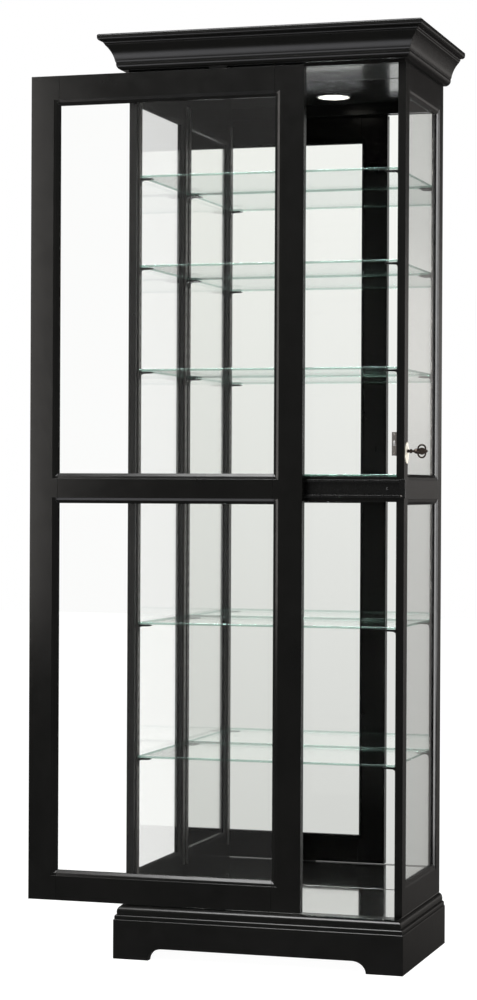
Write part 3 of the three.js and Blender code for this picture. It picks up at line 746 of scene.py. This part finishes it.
def build_world():
    """White behind the object. What it mirrors is a pale studio in front, a bright floor far below
    and a dim room behind."""
    world = bpy.data.worlds.new("studio")
    world.use_nodes = True
    nodes, links = world.node_tree.nodes, world.node_tree.links
    output = nodes["World Output"]
    backdrop = nodes["Background"]
    backdrop.inputs["Color"].default_value = (1, 1, 1, 1)
    coords = nodes.new("ShaderNodeTexCoord")
    split = nodes.new("ShaderNodeSeparateXYZ")
    links.new(coords.outputs["Generated"], split.inputs["Vector"])

    def graded(stops):
        """A background whose colour follows the direction's height."""
        shift = nodes.new("ShaderNodeMapRange")
        shift.inputs["From Min"].default_value = -1
        links.new(split.outputs["Z"], shift.inputs["Value"])
        ramp = nodes.new("ShaderNodeValToRGB")
        elements = ramp.color_ramp.elements
        while len(elements) < len(stops):
            elements.new(0.5)
        for element, (height, color) in zip(elements, stops):
            element.position = (height + 1) / 2
            element.color = (*color, 1)
        links.new(shift.outputs["Result"], ramp.inputs["Fac"])
        background = nodes.new("ShaderNodeBackground")
        links.new(ramp.outputs["Color"], background.inputs["Color"])
        return background

    front, low, behind = graded(FRONT_SKY), graded(LOW_SKY), graded(BACK_SKY)
    low.inputs["Strength"].default_value = LOW_GLOW
    sides = nodes.new("ShaderNodeMapRange")
    sides.inputs["From Min"].default_value = FRONT_ENDS
    sides.inputs["From Max"].default_value = BACK_STARTS
    links.new(split.outputs["Y"], sides.inputs["Value"])
    glow = nodes.new("ShaderNodeAddShader")
    links.new(front.outputs["Background"], glow.inputs[0])
    links.new(low.outputs["Background"], glow.inputs[1])
    studio = nodes.new("ShaderNodeMixShader")
    links.new(sides.outputs["Result"], studio.inputs["Fac"])
    links.new(glow.outputs["Shader"], studio.inputs[1])
    links.new(behind.outputs["Background"], studio.inputs[2])
    path = nodes.new("ShaderNodeLightPath")
    mix = nodes.new("ShaderNodeMixShader")
    links.new(path.outputs["Is Camera Ray"], mix.inputs["Fac"])
    links.new(studio.outputs["Shader"], mix.inputs[1])
    links.new(backdrop.outputs["Background"], mix.inputs[2])
    links.new(mix.outputs["Shader"], output.inputs["Surface"])
    bpy.context.scene.world = world


# The photograph's camera, fitted to the cabinet's straight edges: angles in radians, the focal
# length in pixels of the photograph, and where it stands.
CAMERA_YAW, CAMERA_PITCH, CAMERA_ROLL = 0.295771, -0.003987, 0.004693
CAMERA_PLACE = (1.52832, -5.55797, 1.01711)
FOCAL_PX, PHOTO_HEIGHT_PX = 2525.0, 1000
SENSOR_HEIGHT_MM = 36
CAMERA_FAR_CLIP = 100


def build_camera():
    """A little right of the front, at half the cabinet's height."""
    yaw, pitch, roll = CAMERA_YAW, CAMERA_PITCH, CAMERA_ROLL
    flat = math.cos(pitch)
    forward = Vector((-math.sin(yaw) * flat, math.cos(yaw) * flat, math.sin(pitch)))
    right = Vector((math.cos(yaw), math.sin(yaw), 0))
    up = right.cross(forward)
    across = math.cos(roll) * right + math.sin(roll) * up
    rise = math.cos(roll) * up - math.sin(roll) * right
    data = bpy.data.cameras.new("camera")
    data.sensor_fit = "VERTICAL"
    data.sensor_height = SENSOR_HEIGHT_MM
    data.lens = SENSOR_HEIGHT_MM * FOCAL_PX / PHOTO_HEIGHT_PX
    data.clip_end = CAMERA_FAR_CLIP
    camera = bpy.data.objects.new("camera", data)
    axes = Matrix((across, rise, -forward)).transposed().to_4x4()
    camera.matrix_world = Matrix.Translation(CAMERA_PLACE) @ axes
    bpy.context.scene.collection.objects.link(camera)
    bpy.context.scene.camera = camera


def area_light(name, place, target, size, power, color=(1, 1, 1), sheen_only=False):
    """A soft panel of light. With `sheen_only` it is seen in polished surfaces and does not light
    matt ones."""
    light = bpy.data.lights.new(name, "AREA")
    light.shape = "RECTANGLE"
    light.size, light.size_y = size
    light.energy = power
    light.color = color
    lamp = bpy.data.objects.new(name, light)
    lamp.location = place
    lamp.rotation_euler = (Vector(target) - Vector(place)).to_track_quat("-Z", "Y").to_euler()
    lamp.visible_camera = False
    lamp.visible_diffuse = not sheen_only
    bpy.context.scene.collection.objects.link(lamp)


WARM, WARMER = (1, 0.97, 0.93), (1, 0.96, 0.92)


def build_lights():
    left_edge, right_edge = (-0.5, -0.4, 1.45), (0.31, 0.0, 1.1)
    area_light("top", (-0.6, -2.6, 4.2), (0, -0.3, 1.2), (3.4, 2.2), 110)
    area_light("top_sheen", (-0.95, -3.0, 4.2), (0, -0.4, 1.0), (1.4, 2.4), 700, sheen_only=True)
    area_light("left_strip", (-1.56, -2.38, 1.5), left_edge, (0.4, 1.8), 48, WARMER, True)
    area_light("right_strip", (4.0, 0.15, 1.3), (0.3, 0.0, 1.1), (0.7, 2.8), 27, WARM)
    area_light("right_sheen", (3.6, 1.2, 1.2), right_edge, (0.8, 3.0), 250, sheen_only=True)
    area_light("back_sheen", (2.37, 2.83, 1.35), right_edge, (0.7, 2.1), 24, sheen_only=True)


build_stage()
build_world()
build_camera()
build_lights()
bpy.context.scene.view_settings.view_transform = "Standard"
